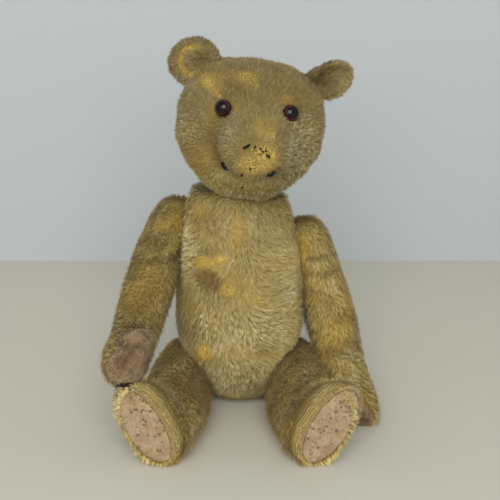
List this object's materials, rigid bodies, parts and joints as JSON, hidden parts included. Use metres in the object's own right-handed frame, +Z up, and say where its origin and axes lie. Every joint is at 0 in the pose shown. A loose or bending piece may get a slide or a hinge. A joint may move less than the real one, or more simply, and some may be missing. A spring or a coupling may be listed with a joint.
{
  "type": "jointed teddy bear",
  "caption": "Worn antique teddy bear of mohair plush, sitting, with disc-jointed neck, shoulders and hips, glass eyes and felt pads.",
  "frame": {"origin": "on the ground, on the flat seat under the bear's body", "axes": "+Z up through the body to the crown of the head; the bear faces -Y; -X is the bear's own right"},
  "size_m": [0.1851, 0.1554, 0.2692],
  "materials": {
    "mohair_plush": "matted, worn golden-brown pile on woven backing",
    "wool_felt": "thin moth-eaten felt, dusty pinkish cream",
    "wood_wool": "packed wood wool",
    "card_disc": "pressed card",
    "steel_hardware": "dull, lightly rusted",
    "eye_glass": "polished dark amber with a black pupil",
    "black_thread": "worn cotton thread"
  },
  "bodies": {
    "torso": {"torso_cover": "mohair_plush", "torso_stuffing": "wood_wool", "torso_neck_disc": "card_disc", "torso_neck_washer": "steel_hardware", "neck_pin": "steel_hardware", "torso_shoulder_right_disc": "card_disc", "torso_shoulder_right_washer": "steel_hardware", "shoulder_right_pin": "steel_hardware", "torso_shoulder_left_disc": "card_disc", "torso_shoulder_left_washer": "steel_hardware", "shoulder_left_pin": "steel_hardware", "torso_hip_right_disc": "card_disc", "torso_hip_right_washer": "steel_hardware", "hip_right_pin": "steel_hardware", "torso_hip_left_disc": "card_disc", "torso_hip_left_washer": "steel_hardware", "hip_left_pin": "steel_hardware"},
    "head": {"head_cover": "mohair_plush", "head_stuffing": "wood_wool", "eye_right": "eye_glass", "eye_wire_right": "steel_hardware", "ear_right": "mohair_plush", "eye_left": "eye_glass", "eye_wire_left": "steel_hardware", "ear_left": "mohair_plush", "nose_thread": "black_thread", "mouth_thread_right": "black_thread", "mouth_thread_left": "black_thread", "head_neck_disc": "card_disc", "head_neck_washer": "steel_hardware"},
    "arm_right": {"arm_right_cover": "mohair_plush", "arm_right_stuffing": "wood_wool", "paw_pad_right": "wool_felt", "arm_shoulder_right_disc": "card_disc", "arm_shoulder_right_washer": "steel_hardware"},
    "leg_right": {"leg_right_cover": "mohair_plush", "leg_right_stuffing": "wood_wool", "foot_pad_right": "wool_felt", "leg_hip_right_disc": "card_disc", "leg_hip_right_washer": "steel_hardware"},
    "arm_left": {"arm_left_cover": "mohair_plush", "arm_left_stuffing": "wood_wool", "paw_pad_left": "wool_felt", "arm_shoulder_left_disc": "card_disc", "arm_shoulder_left_washer": "steel_hardware"},
    "leg_left": {"leg_left_cover": "mohair_plush", "leg_left_stuffing": "wood_wool", "foot_pad_left": "wool_felt", "leg_hip_left_disc": "card_disc", "leg_hip_left_washer": "steel_hardware"}
  },
  "joints": [
    {"name": "neck_swivel", "type": "hinge", "parent": "torso", "child": "head", "pos_m": [0.0015, -0.002, 0.161], "axis": [0.1305, 0, 0.9914], "continuous": true},
    {"name": "shoulder_right_turn", "type": "hinge", "parent": "torso", "child": "arm_right", "pos_m": [-0.037, 0.007, 0.132], "axis": [-0.9792, 0.1289, 0.1564], "range_deg": [0, 80]},
    {"name": "shoulder_left_turn", "type": "hinge", "parent": "torso", "child": "arm_left", "pos_m": [0.0395, 0.007, 0.117], "axis": [-0.9636, -0.1873, -0.1908], "range_deg": [0, 110]},
    {"name": "hip_right_turn", "type": "hinge", "parent": "torso", "child": "leg_right", "pos_m": [-0.0195, 0.005, 0.025], "axis": [-0.9781, 0.1549, -0.1392], "range_deg": [-90, 0]},
    {"name": "hip_left_turn", "type": "hinge", "parent": "torso", "child": "leg_left", "pos_m": [0.0195, 0.005, 0.025], "axis": [-0.9782, -0.1462, 0.1478], "range_deg": [-90, 0]}
  ]
}
